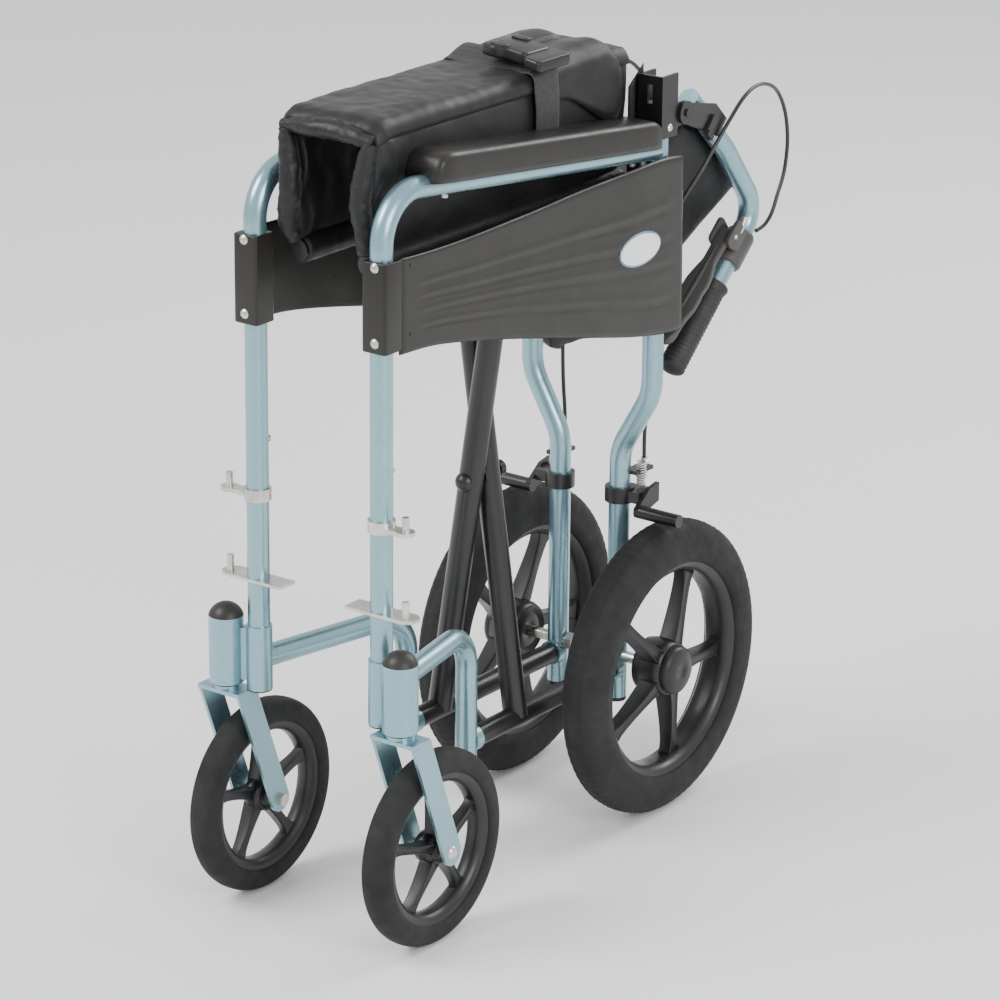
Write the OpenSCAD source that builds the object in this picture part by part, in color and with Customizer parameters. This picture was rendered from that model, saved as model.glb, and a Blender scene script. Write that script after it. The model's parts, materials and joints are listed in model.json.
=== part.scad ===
// Folding transit wheelchair with attendant brakes, stored folded with its backrest down.
// Front is -Y, the occupant's left is +X, the floor is z = 0.
// Y is measured from the front tubes inside each module, then shifted so the origin is central.

/* [Frame] */
// Distance from the centre plane to the front tubes when folded
frame_x = 76; // [74:1:80]
// Distance from the front tubes back to the rear uprights
rear_y = 449; // [445:1:455]
// Outside diameter of the frame tubes
tube_d = 22.2; // [20:0.1:23]
// Height where the front tube would meet the armrest tube without its bend
arm_corner_z = 761; // [750:1:770]
// Downward slope of the armrest tube towards the rear, in degrees
arm_slope = 6.2; // [5:0.1:7]
// Distance from the centre plane to the lower rear tubes when folded
low_x = 38; // [36:1:40]
// Height of the lower rail's horizontal run
rail_z = 265; // [260:1:270]

/* [Scissor] */
// Height of the lower pivots of the cross braces
low_pivot_z = 145; // [140:1:150]
// Length of a brace from its lower pivot to the centre bolt
arm_low = 258; // [254:1:262]
// Length of a brace from the centre bolt to its seat rail
arm_high = 283; // [279:1:287]
// Outside diameter of the brace tubes
brace_d = 25.4; // [24:0.1:26]
// Distance from the front tubes to the front brace
brace_front_y = 242; // [238:1:244]
// Distance from the front tubes to the rear brace
brace_rear_y = 270; // [268:1:274]

/* [Backrest] */
// Angle that the backrest folds down through, in degrees
back_fold = 134; // [130:1:136]
// Distance from the front tubes to the backrest hinge
hinge_y = 474; // [472:1:476]
// Height of the backrest hinge
hinge_z = 747; // [745:1:750]
// Height of the push handle above the backrest hinge when upright
handle_rise = 208; // [200:1:212]
// Length of the push handle behind the backrest hinge when upright
handle_reach = 190; // [180:1:195]

/* [Wheels] */
// Radius of the rear tyres
rear_r = 158; // [156:1:159]
// Width of the rear tyres
rear_w = 46; // [42:1:46]
// Distance from the centre plane to the middle of the rear tyres when folded
rear_x = 93; // [93:1:96]
// Radius of the caster tyres
caster_r = 100; // [98:1:101]
// Width of the caster tyres
caster_w = 30; // [28:1:32]
// Distance from the centre plane to the caster swivel when folded
caster_x = 108; // [108:1:110]
// Distance that the casters swivel ahead of the front tubes
caster_lead = 12; // [11:1:13]
// Distance that a caster's axle trails its swivel
caster_trail = 50; // [48:1:52]

/* [Upholstery] */
// Height of the top of the folded seat bundle
bundle_z = 822; // [820:1:826]
// Half width of the top of the folded seat bundle
bundle_half = 60; // [58:1:61]

/* [Hidden] */
$fn = 48;

LEFT = 1;
RIGHT = -1;
tube_r = tube_d / 2;

// The cable loops at the back and the casters at the front set the middle of the length
origin_y = 308;

// Colours
blue = [0.55, 0.72, 0.76];
dark = [0.27, 0.26, 0.24];
black = [0.10, 0.10, 0.11];
steel = [0.72, 0.72, 0.70];
cloth = [0.16, 0.16, 0.17];

// Front tube and armrest tube
tube_foot_z = 236;
arm_bend_r = 48;
arm_rear_z = arm_corner_z - rear_y * tan(arm_slope);

// Rear upright
upright_top_z = 760;
jog_top_z = 453;
jog_foot_z = 386;
jog_bend_r = 60;
upright_foot_z = 112;
axle_d = 12;

// Front sleeve and caster housing
sleeve_d = 26;
sleeve_top_z = 300;
sleeve_foot_z = 234;
housing_d = 35;
housing_top_z = 307;
housing_foot_z = 238;
stem_d = 12;
running_gap = 0.05;

// Lower rail and the pins that the braces turn on
rail_turn_y = 186;
rail_bend_r = 40;
leg_foot_z = 128;
pin_d = 10;
boss_d = 26;
boss_t = 3;
// The bosses stop this far from the middle of their tubes
boss_sink = 4;
pin_reach = 24;
bar_front_y = rail_turn_y + tube_r + boss_t + 0.5;
bar_rear_y = rear_y - tube_r - boss_t - 0.5;

// Scissor at rest: both braces lean by the same angle
lean = asin(low_x / arm_low);
brace_len = arm_low + arm_high;
cross_z = low_pivot_z + arm_low * cos(lean);
seat_rail_x = arm_high * sin(lean);
seat_rail_z = low_pivot_z + brace_len * cos(lean);
seat_rail_front_y = 22;
seat_rail_rear_y = 428;

// Side panel: a clip round the front tube and a thin moulded plate
panel_in_x = frame_x + tube_r + 0.9;
panel_t = 4;
clip_foot_z = 603;
clip_top_z = 706;
clip_front_y = -14;
clip_rear_y = 13;
clip_half = 14;
clip_in_x = frame_x - clip_half;

// Armrest pad
pad_front_y = 60;
pad_len = 372;
pad_w = 50;
pad_low = 5;
pad_high = 33;

// Backrest hinge, in the upright position and relative to the hinge pin
cane_y = rear_y - hinge_y;
cane_foot = 15;
cane_kink = 112;
cane_top_y = -12;
channel_gap = 1;
channel_t = 3;
channel_in = tube_r + channel_gap;
channel_out = channel_in + channel_t;
channel_foot_z = 726;
channel_top_z = 790;
plate_in = channel_out + 0.4;
plate_t = 3;
hinge_pin_d = 8;
handle_drop = 3;
plate_len = 66;

// Push handle parts, measured along the handle from the hinge pin
grip_from = 86;
grip_to = 196;
grip_d = 29;
clamp_from = 22;
clamp_to = 58;
clamp_d = 31;
lever_y = 38;
lever_z = handle_rise - 27;
lever_len = 136;
lever_tilt = 7;
lever_pin_d = 5;

// Attendant brake
brake_z = 338;
brake_y = 464;
brake_in_x = 62;
shoe_y = 440;
shoe_z = 326;
shoe_d = 14;
brake_pin_d = 6;
adjuster_x = 51;
adjuster_y = 474;
adjuster_z = 350;

// Left brake cable, from its adjuster up to the lever housing
cable_d = 5;
cable_route = [
    [51, 474, 373], [51, 474, 400], [54, 474, 440], [56, 475, 490], [56, 475, 540],
    [60, 478, 590], [76, 488, 641], [92, 510, 684], [99, 542, 724], [98, 574, 746],
    [94, 608, 751], [90, 642, 740], [87, 666, 714], [86, 676, 680], [86, 672, 646],
    [86, 660, 622]
];
cable_steps = 4;

// Upholstery when folded
flap_in_x = 31;
flap_out_x = 49.5;
flap_top_z = 798;
notch_h = 35;
layer_t = 9.5;
under_reach = 30;
// Half of the backrest fabric, which reaches the centre plane folded and unfolded
spread = 155.4;
back_in_x = frame_x - 17;
half_back = back_in_x + spread;
v_angle = acos(back_in_x / half_back);
back_t = 4;
// Each half stops short of the centre so that the two never cross part-way open
back_len = 172;
hem_z = 520;
hem_top_z = 550;
// Distances from the upright's side of the fold
hem_start = 8;
strip_w = 8;
hem_len = 75;
band_len = 154;
upper_from = 93;
upper_to = 176;
band_z = bundle_z + 1;
band_h = 15;
belt_z = band_z + band_h + 0.5;

// Hair by which bends swell over their tube, and the lap of the straights into them
bend_swell = 0.2;
bend_lap = 0.5;

// ---------- general shapes ----------

function unit(v) = v / norm(v);
// Any direction square to v
function square_to(v) = unit(cross(v, abs(v.z) < 0.9 ? [0, 0, 1] : [1, 0, 0]));

// Places children, drawn along +Z, at p with +Z turned to direction w and +X to u
module aimed(p, u, w) {
    v = cross(w, u);
    multmatrix([
        [u.x, v.x, w.x, p.x],
        [u.y, v.y, w.y, p.y],
        [u.z, v.z, w.z, p.z],
        [0, 0, 0, 1]
    ]) children();
}

// Round bar of diameter d from a to b
module rod(a, b, d) {
    w = unit(b - a);
    aimed(a, square_to(w), w) cylinder(d = d, h = norm(b - a));
}

// Part of a ring that joins a bar coming along u to one leaving along v at corner p
module elbow(p, u, v, r, d) {
    turn = acos(u * v);
    axis = unit(cross(u, v));
    inward = cross(axis, u);
    start = p - u * r * tan(turn / 2);
    aimed(start + inward * r, -inward, axis)
        rotate_extrude(angle = turn)
            translate([r, 0])
                circle(d = d);
}

// Length that a bend of radius r takes off each side of corner i
function bend_cut(pts, i, r) =
    i == 0 || i == len(pts) - 1 ? 0
    : r * tan(acos(unit(pts[i] - pts[i - 1]) * unit(pts[i + 1] - pts[i])) / 2);

// Round bar through the corners pts, bent to radii[i] at each inner corner. The bends
// swell by a hair and the straight lengths run a little way into them.
module bent_tube(pts, radii, d) {
    function cut(i) = radii[i] == 0 ? 0 : bend_cut(pts, i, radii[i]) - bend_lap;
    for (i = [0 : len(pts) - 2]) {
        w = unit(pts[i + 1] - pts[i]);
        rod(pts[i] + w * cut(i), pts[i + 1] - w * cut(i + 1), d);
    }
    for (i = [1 : len(pts) - 2])
        elbow(pts[i], unit(pts[i] - pts[i - 1]), unit(pts[i + 1] - pts[i]), radii[i],
              d + bend_swell);
}

// Bar of diameter d along X, centred on x
module cross_bar(x, y, z, d, h) {
    translate([x, y, z]) rotate([0, 90, 0]) cylinder(d = d, h = h, center = true);
}

// Bar of diameter d along Y from y0 to y1
module long_bar(x, z, y0, y1, d) {
    translate([x, y0, z]) rotate([-90, 0, 0]) cylinder(d = d, h = y1 - y0);
}

// Low domed head of radius r on a flat face, pointing along +Z
module dome(r, h) {
    ball = (r * r + h * h) / (2 * h);
    intersection() {
        translate([0, 0, h - ball]) sphere(r = ball);
        cylinder(r = r + 1, h = h + 1);
    }
}

// Moves one side's parts into place and mirrors them for the right side
module on_side(side) {
    translate([0, -origin_y, 0])
        if (side == RIGHT) mirror([1, 0, 0]) children();
        else children();
}

// Turns backrest parts, drawn upright about the hinge pin, to their folded place
module folded_back() {
    translate([frame_x, hinge_y, hinge_z]) rotate([-back_fold, 0, 0]) children();
}

// ---------- side frame ----------

module upright_bar() {
    bent_tube([
        [frame_x, rear_y, upright_top_z], [frame_x, rear_y, jog_top_z],
        [low_x, rear_y, jog_foot_z], [low_x, rear_y, upright_foot_z]
    ], [0, jog_bend_r, jog_bend_r, 0], tube_d);
}

module front_bar() {
    bent_tube([
        [frame_x, 0, tube_foot_z], [frame_x, 0, arm_corner_z],
        [frame_x, rear_y - 4, arm_rear_z + 4 * tan(arm_slope)]
    ], [0, arm_bend_r, 0], tube_d);
}

// Front upright and armrest in one bent tube, coped where it meets the rear upright
module front_tube(side) {
    color(blue) on_side(side) difference() {
        front_bar();
        translate([frame_x, rear_y, arm_rear_z - 40]) cylinder(d = tube_d, h = 80);
    }
}

// Rear upright, drilled for the wheel axle, with the stub that the brace bar turns on
module rear_upright(side) {
    color(blue) on_side(side) difference() {
        union() {
            upright_bar();
            long_bar(low_x, low_pivot_z, bar_rear_y + 0.5, rear_y - boss_sink, boss_d);
            long_bar(low_x, low_pivot_z, bar_rear_y - pin_reach, rear_y - boss_sink, pin_d);
        }
        cross_bar(low_x, rear_y, rear_r, axle_d, 40);
    }
}

// Tube sleeve, caster housing and lower rail, welded together
module lower_frame(side) {
    web_angle = atan2(-caster_lead, caster_x - frame_x);
    color(blue) on_side(side) difference() {
        union() {
            translate([frame_x, 0, sleeve_foot_z])
                cylinder(d = sleeve_d, h = sleeve_top_z - sleeve_foot_z);
            translate([caster_x, -caster_lead, housing_foot_z])
                cylinder(d = housing_d, h = housing_top_z - housing_foot_z);
            translate([frame_x, 0, housing_foot_z + 4])
                rotate([0, 0, web_angle])
                    translate([0, -5, 0]) cube([32, 10, sleeve_top_z - housing_foot_z - 8]);
            bent_tube([
                [frame_x, 0, rail_z], [low_x, rail_turn_y, rail_z],
                [low_x, rail_turn_y, leg_foot_z]
            ], [0, rail_bend_r, 0], tube_d);
            long_bar(low_x, low_pivot_z, rail_turn_y + boss_sink, bar_front_y - 0.5, boss_d);
            long_bar(low_x, low_pivot_z, rail_turn_y + boss_sink, bar_front_y + pin_reach, pin_d);
        }
        translate([frame_x, 0, tube_foot_z]) cylinder(d = tube_d, h = 80);
        translate([caster_x, -caster_lead, housing_foot_z - 1])
            cylinder(d = stem_d + 2 * running_gap, h = 80);
    }
}

// Plastic caps: domed caster cap, and plugs in the upright's foot and the rail's leg
module end_caps(side) {
    cap_r = housing_d / 2;
    color(dark) on_side(side) {
        difference() {
            translate([caster_x, -caster_lead, housing_top_z]) dome(cap_r, 13);
            translate([caster_x, -caster_lead, housing_top_z - 1])
                cylinder(d = 20, h = 7.5);
        }
        translate([low_x, rear_y, upright_foot_z - 4]) cylinder(d = tube_d, h = 4);
        translate([low_x, rail_turn_y, leg_foot_z - 3]) cylinder(d = tube_d, h = 3);
        translate([frame_x, 0, sleeve_foot_z - 1.5]) cylinder(d = sleeve_d - 1, h = 1.5);
    }
}

// Moulded skirt guard: plate outside the tubes and a clip round the front tube
module side_panel(side) {
    color(dark) on_side(side) difference() {
        union() {
            translate([panel_in_x, 0, 0])
                rotate([90, 0, 90])
                    linear_extrude(panel_t)
                        polygon([
                            [clip_rear_y - 4, clip_foot_z + 2], [70, 600], [140, 588],
                            [230, 568], [330, 544], [410, 528], [470, 518], [480, 524],
                            [478, 620], [474, 700], [466, 707], [350, 705],
                            [216, 699], [90, 694], [clip_rear_y - 4, 696]
                        ]);
            translate([clip_in_x, clip_front_y, clip_foot_z])
                cube([panel_in_x + panel_t - clip_in_x, clip_rear_y - clip_front_y,
                      clip_top_z - clip_foot_z]);
        }
        translate([frame_x, 0, clip_foot_z - 1])
            cylinder(d = tube_d, h = clip_top_z - clip_foot_z + 2);
    }
}

// Armrest pad, its underside grooved to sit over the armrest tube
module armrest_pad(side) {
    color(dark) on_side(side) difference() {
        translate([frame_x - pad_w / 2, 0, arm_corner_z])
            rotate([-arm_slope, 0, 0])
                rotate([90, 0, 90])
                    linear_extrude(pad_w)
                        polygon([
                            [pad_front_y + 3, pad_low], [pad_front_y, 14],
                            [pad_front_y + 14, pad_high], [pad_front_y + pad_len - 18, pad_high],
                            [pad_front_y + pad_len, pad_high - 10],
                            [pad_front_y + pad_len, pad_low]
                        ]);
        front_bar();
    }
}

// Black steel on the rear upright: the backrest's hinge channel and the brake bracket
module upright_brackets(side) {
    ear_r = 12;
    color(black) on_side(side) {
        difference() {
            union() {
                for (x = [-channel_out, channel_in])
                    translate([frame_x + x, 0, 0]) {
                        translate([0, rear_y - channel_out, channel_foot_z])
                            cube([channel_t, 28, channel_top_z - channel_foot_z]);
                        translate([0, rear_y, hinge_z - ear_r])
                            cube([channel_t, hinge_y - rear_y, 2 * ear_r]);
                        translate([0, hinge_y, hinge_z])
                            rotate([0, 90, 0]) cylinder(r = ear_r, h = channel_t);
                    }
                translate([frame_x - channel_out, rear_y - channel_out, channel_foot_z])
                    cube([2 * channel_out, channel_t, channel_top_z - channel_foot_z]);
            }
            cross_bar(frame_x, hinge_y, hinge_z, hinge_pin_d + 2 * running_gap, 60);
            translate([frame_x - 3, rear_y - 20, hinge_z + 14]) cube([6, 15, 20]);
        }
        difference() {
            union() {
                translate([low_x, rear_y, brake_z - 8]) cylinder(d = 31, h = 16);
                translate([low_x, rear_y - 6, brake_z - 6]) cube([28, 26, 12]);
                translate([low_x + 4, rear_y + 2, adjuster_z + 10])
                    cube([16, 30, 4]);
            }
            translate([low_x, rear_y, brake_z - 12]) cylinder(d = tube_d, h = 50);
            cross_bar(brake_in_x, brake_y, brake_z, brake_pin_d + 2 * running_gap, 36);
            translate([adjuster_x, adjuster_y, adjuster_z])
                cylinder(d = 7, h = 30);
        }
    }
}

// Footrest fittings on the front tube: a clip with a pin above, a plate with a pin below
module footrest_brackets(side) {
    pin_x = frame_x + 32;
    pin_y = -4;
    upper_z = 436;
    lower_z = 347;
    color(steel) on_side(side) difference() {
        union() {
            translate([frame_x, 0, upper_z - 6]) cylinder(d = 27, h = 12);
            translate([frame_x, pin_y - 7, upper_z - 2]) cube([32, 14, 4]);
            translate([pin_x, pin_y, upper_z - 2]) cylinder(r = 9, h = 4);
            translate([pin_x, pin_y, upper_z]) cylinder(d = 7, h = 16);
            translate([frame_x - 36, -12, lower_z]) cube([68, 24, 3]);
            translate([pin_x - 1, 0, lower_z]) cylinder(r = 12, h = 3);
            translate([pin_x, pin_y, lower_z]) cylinder(d = 7, h = 20);
        }
        translate([frame_x, 0, lower_z - 10]) cylinder(d = tube_d, h = 130);
    }
}

// Bright fasteners: panel screws, pad screws, rivets, the wheel axle and the cable adjuster
module fixings(side) {
    screw_z = [619, 692];
    pad_screw_y = [95, 405];
    rest_peg_z = 488;
    axle_end_x = rear_x + rear_w / 2 + 4;
    color(steel) on_side(side) {
        for (z = screw_z)
            translate([frame_x + 2.5, clip_front_y, z]) rotate([90, 0, 0]) dome(5, 2.5);
        for (y = pad_screw_y)
            translate([frame_x, y, arm_corner_z - y * tan(arm_slope) - tube_r / cos(arm_slope)])
                rotate([180 - arm_slope, 0, 0]) cylinder(d = 8, h = 3);
        difference() {
            long_bar(frame_x, rest_peg_z, 0, tube_r + 5, 8);
            translate([frame_x, 0, rest_peg_z - 10]) cylinder(d = tube_d, h = 20);
        }
        translate([frame_x + channel_out, rear_y, channel_foot_z + 10])
            rotate([0, 90, 0]) dome(4, 2);
        cross_bar((low_x - 22 + axle_end_x) / 2, rear_y, rear_r, axle_d,
                  axle_end_x - low_x + 22);
        translate([low_x - 22, rear_y, rear_r]) rotate([0, 90, 0]) difference() {
            cylinder(d = 20, h = 9, $fn = 6);
            translate([0, 0, -1]) cylinder(d = axle_d, h = 12);
        }
        translate([adjuster_x, adjuster_y, adjuster_z]) cylinder(d = 7, h = 23);
    }
}

// ---------- wheels ----------

// Wheel turned about X: hub, five spokes and a rim bed, bored for its axle
module rim(r_bed, w, hub_d, hub_w, spoke_w, spoke_t, bore_d, first) {
    bed_t = 11;
    difference() {
        rotate([0, 90, 0]) union() {
            rotate_extrude($fn = 96) polygon([
                [r_bed - bed_t, -w * 0.32], [r_bed - bed_t, w * 0.32],
                [r_bed - 4, w * 0.44], [r_bed, w * 0.44],
                [r_bed, -w * 0.44], [r_bed - 4, -w * 0.44]
            ]);
            cylinder(d = hub_d, h = hub_w, center = true);
            for (i = [0 : 4])
                rotate([0, 0, first + 72 * i])
                    translate([hub_d / 2 - 3, -spoke_w / 2, -spoke_t / 2])
                        cube([r_bed - bed_t / 2 - hub_d / 2 + 1, spoke_w, spoke_t]);
        }
        rotate([0, 90, 0]) cylinder(d = bore_d, h = hub_w + 20, center = true);
    }
}

// Solid tyre turned about X, with a crowned tread
module tyre(r_out, r_in, w, crown) {
    rotate([0, 90, 0]) rotate_extrude($fn = 96) intersection() {
        translate([r_in, -w / 2]) square([r_out - r_in, w]);
        translate([r_out - crown, 0]) circle(r = crown);
    }
}

module at_caster() {
    translate([caster_x, caster_trail - caster_lead, caster_r]) children();
}

module at_rear_wheel() {
    translate([rear_x, rear_y, rear_r]) children();
}

caster_bed = 78;
rear_bed = 116;

module caster_rim(side) {
    color(dark) on_side(side) at_caster()
        rim(caster_bed, caster_w, 32, 40, 13, 15, 8 + 2 * running_gap, 20);
}

module caster_tyre(side) {
    color(black) on_side(side) at_caster() tyre(caster_r, caster_bed, caster_w, 20);
}

module rear_rim(side) {
    color(dark) on_side(side) at_rear_wheel()
        rim(rear_bed, rear_w, 56, 46, 19, 22, axle_d + 2 * running_gap, -6);
}

module rear_tyre(side) {
    color(black) on_side(side) at_rear_wheel() tyre(rear_r, rear_bed, rear_w, 30);
}

// Caster fork: bridge under the housing, two slanting legs, and the swivel stem
fork_half = 26;
fork_t = 3.5;
fork_top_z = 232;
fork_eye_r = 13;

module caster_fork(side) {
    eye = [caster_trail, caster_r];
    lean_y = unit(eye - [0, fork_top_z]);
    edge = [lean_y.y, -lean_y.x] * fork_eye_r;
    color(blue) on_side(side) translate([caster_x, -caster_lead, 0]) difference() {
        union() {
            translate([-fork_half, -14, fork_top_z - 4]) cube([2 * fork_half, 28, 4]);
            for (x = [-fork_half, fork_half - fork_t])
                translate([x, 0, 0]) rotate([90, 0, 90]) linear_extrude(fork_t) {
                    polygon([[-14, fork_top_z], eye + edge, eye - edge, [14, fork_top_z]]);
                    translate(eye) circle(r = fork_eye_r);
                }
            translate([0, 0, fork_top_z - 1]) cylinder(d = 28, h = 4.5);
            translate([0, 0, fork_top_z]) cylinder(d = stem_d, h = housing_top_z - fork_top_z);
            translate([0, 0, housing_top_z + 0.4]) cylinder(d = 17, h = 5, $fn = 6);
            translate([0, 0, fork_top_z]) cylinder(d = stem_d - 2, h = housing_top_z - fork_top_z + 4);
        }
        cross_bar(0, caster_trail, caster_r, 8, 80);
    }
}

module caster_axle(side) {
    color(steel) on_side(side) at_caster() {
        cross_bar(0, 0, 0, 8, 2 * fork_half);
        translate([fork_half, 0, 0]) rotate([0, 90, 0]) dome(7, 3.5);
        translate([-fork_half - 5, 0, 0]) rotate([0, 90, 0]) cylinder(d = 14, h = 5, $fn = 6);
    }
}

// ---------- scissor ----------

// Brace whose foot is at x = -low_x * hand and whose head carries the opposite seat rail
module brace(hand, y) {
    head = [hand * seat_rail_x, y, seat_rail_z];
    foot = [-hand * low_x, y, low_pivot_z];
    difference() {
        union() {
            rod(foot, head, brace_d);
            long_bar(foot.x, foot.z, bar_front_y, bar_rear_y, tube_d);
        }
        for (end = [bar_front_y - 1, bar_rear_y - pin_reach - 2])
            long_bar(foot.x, foot.z, end, end + pin_reach + 3, pin_d + 2 * running_gap);
        long_bar(head.x, head.z, y - 40, y + 40, tube_d);
    }
}

module brace_front() {
    color(black) translate([0, -origin_y, 0]) difference() {
        brace(1, brace_front_y);
        long_bar(0, cross_z, brace_front_y - 30, brace_front_y + 30, pin_d);
    }
}

module brace_rear() {
    color(black) translate([0, -origin_y, 0]) difference() {
        brace(-1, brace_rear_y);
        long_bar(0, cross_z, brace_rear_y - 30, brace_rear_y + 30, pin_d + 2 * running_gap);
    }
}

// Centre bolt with its domed cap in front, a washer between the braces and a nut behind
module pivot_bolt() {
    front = brace_front_y - brace_d / 2;
    rear = brace_rear_y + brace_d / 2;
    color(black) translate([0, -origin_y, 0]) {
        long_bar(0, cross_z, front, rear + 8, pin_d);
        translate([0, front, cross_z]) rotate([90, 0, 0]) dome(10, 7);
        difference() {
            union() {
                long_bar(0, cross_z, brace_front_y + brace_d / 2 + 0.2,
                         brace_rear_y - brace_d / 2 - 0.2, 20);
                long_bar(0, cross_z, rear + 0.5, rear + 8, 17);
            }
            long_bar(0, cross_z, front, rear + 9, pin_d);
        }
    }
}

module seat_rail(side) {
    rivets = 6;
    pitch = (seat_rail_rear_y - seat_rail_front_y - 60) / (rivets - 1);
    color(black) on_side(side) {
        long_bar(seat_rail_x, seat_rail_z, seat_rail_front_y, seat_rail_rear_y, tube_d);
        for (i = [0 : rivets - 1])
            translate([seat_rail_x + tube_r - 0.5, seat_rail_front_y + 30 + pitch * i, seat_rail_z])
                rotate([0, 90, 0]) dome(4, 2);
    }
}

// ---------- backrest and push handles ----------

cane_path = [
    [0, cane_y, cane_foot], [0, cane_y, cane_kink], [0, cane_top_y, handle_rise],
    [0, handle_reach, handle_rise - (handle_reach - cane_top_y) * tan(handle_drop)]
];
cane_radii = [0, 100, 32, 0];

module cane_bar(d) {
    bent_tube(cane_path, cane_radii, d);
}

// Draws children along the handle: +Z runs back along it and +X stays across the chair
module along_handle() {
    translate([0, cane_top_y, handle_rise])
        rotate([-90 - handle_drop, 0, 0])
            translate([0, 0, -cane_top_y]) children();
}

module cane(side) {
    color(blue) on_side(side) folded_back() cane_bar(tube_d);
}

// Steel plates that swing outside the hinge channel, riveted to the cane above it
module hinge_plates(side) {
    eye_r = 12;
    color(black) on_side(side) folded_back() difference() {
        union() {
            for (x = [-plate_in - plate_t, plate_in]) {
                translate([x, 0, 0]) rotate([90, 0, 90]) linear_extrude(plate_t) {
                    circle(r = eye_r);
                    polygon([[eye_r, 0], [cane_y + tube_r, plate_len],
                             [cane_y - tube_r, plate_len], [cane_y - tube_r, 38], [-eye_r, 0]]);
                }
            }
            cross_bar(0, cane_y, plate_len - 9, 13, 2 * (plate_in + plate_t));
            cross_bar(0, 0, 0, hinge_pin_d, 2 * (plate_in + plate_t) + 4);
        }
        cane_bar(tube_d);
    }
}

// Spring catch on the outside of the hinge plates
module hinge_lock(side) {
    color(dark) on_side(side) folded_back()
        translate([plate_in + plate_t + 0.3, cane_y + 4, 44]) rotate([0, 90, 0]) {
            cylinder(d = 10, h = 3);
            translate([-4, -2, 0]) cube([8, 22, 3]);
            translate([-6, 16, 0]) cube([12, 5, 7]);
        }
}

module grip(side) {
    color(dark) on_side(side) folded_back() difference() {
        along_handle() translate([0, 0, grip_from])
            cylinder(d = grip_d, h = grip_to - grip_from);
        cane_bar(tube_d);
    }
}

// Clamp on the handle that holds the lever's pivot pin and the end of the cable
module lever_housing(side) {
    color(dark) on_side(side) folded_back() difference() {
        union() {
            along_handle() translate([0, 0, clamp_from])
                cylinder(d = clamp_d, h = clamp_to - clamp_from);
            translate([-13, clamp_from, lever_z - 6]) cube([26, 26, 20]);
        }
        cane_bar(tube_d);
        translate([-8.4, clamp_from + 6, lever_z - 12]) cube([16.8, 40, 18.5]);
        cross_bar(0, lever_y, lever_z, lever_pin_d, 40);
    }
}

// Broad brake lever under the grip, with a ball end
module brake_lever(side) {
    color(dark) on_side(side) folded_back() translate([0, lever_y, lever_z]) {
        rotate([-lever_tilt, 0, 0]) {
            translate([0, 0, -4]) linear_extrude(8) polygon([
                [-8, -5], [8, -5], [8, 36], [14, 62], [15, 94], [11, lever_len - 8],
                [-11, lever_len - 8], [-15, 94], [-14, 62], [-8, 36]
            ]);
            translate([0, lever_len, 0]) sphere(d = 17);
        }
        cross_bar(0, 0, 0, lever_pin_d - 2 * running_gap, 26);
    }
}

// ---------- brakes ----------

// Brake arm that turns about X and presses its shoe on the top of the tyre
module brake_arm(side) {
    plate_x = low_x + 28.5;
    color(black) on_side(side) {
        translate([plate_x, 0, 0]) rotate([90, 0, 90]) linear_extrude(5) polygon([
            [brake_y + 9, brake_z - 8], [brake_y + 9, brake_z + 12],
            [brake_y - 8, brake_z + 9], [shoe_y - 7, shoe_z + 4], [shoe_y, shoe_z - 5]
        ]);
        cross_bar(rear_x, shoe_y, shoe_z, shoe_d, 2 * (rear_x - plate_x));
        cross_bar((plate_x + 46) / 2, brake_y, brake_z, brake_pin_d, plate_x - 46);
    }
}

// Point at fraction t between b and c on a smooth curve through a, b, c and d
function through(a, b, c, d, t) =
    0.5 * (2 * b + (c - a) * t + (2 * a - 5 * b + 4 * c - d) * t * t
           + (3 * b - a - 3 * c + d) * t * t * t);
function smooth_route(p, steps) = [
    for (i = [0 : len(p) - 2], k = [0 : steps - 1])
        through(p[max(i - 1, 0)], p[i], p[i + 1], p[min(i + 2, len(p) - 1)], k / steps),
    p[len(p) - 1]
];

// Tube of eight sides swept along the points pts
module swept_tube(pts, d) {
    sides = 8;
    last = len(pts) - 1;
    function heading(i) = unit(pts[min(i + 1, last)] - pts[max(i - 1, 0)]);
    function ring(i) = let (w = heading(i), u = unit(cross([1, 0, 0], w)), v = cross(w, u))
        [for (k = [0 : sides - 1])
            pts[i] + (u * cos(360 * k / sides) + v * sin(360 * k / sides)) * d / 2];
    polyhedron(
        points = [for (i = [0 : last]) each ring(i)],
        faces = [
            [for (k = [0 : sides - 1]) k],
            for (i = [0 : last - 1], k = [0 : sides - 1])
                [i * sides + k, (i + 1) * sides + k,
                 (i + 1) * sides + (k + 1) % sides, i * sides + (k + 1) % sides],
            [for (k = [sides - 1 : -1 : 0]) last * sides + k]
        ]
    );
}

module brake_cable(side) {
    color(black) on_side(side) swept_tube(smooth_route(cable_route, cable_steps), cable_d);
}

// ---------- upholstery ----------

// Side of the seat sling, standing on its rail when folded
module seat_flap(side) {
    brace_y = side == LEFT ? brace_front_y : brace_rear_y;
    notch_w = brace_d + 5;
    color(cloth) on_side(side) difference() {
        translate([flap_in_x, seat_rail_front_y + 2, seat_rail_z + tube_r + 2])
            cube([flap_out_x - flap_in_x, seat_rail_rear_y - seat_rail_front_y - 4,
                  flap_top_z - seat_rail_z - tube_r - 2]);
        // Room for the head of the brace when the seat lies flat
        translate([flap_in_x - 1, brace_y - notch_w / 2, seat_rail_z])
            cube([flap_out_x - flap_in_x + 2, notch_w, notch_h]);
    }
}

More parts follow.
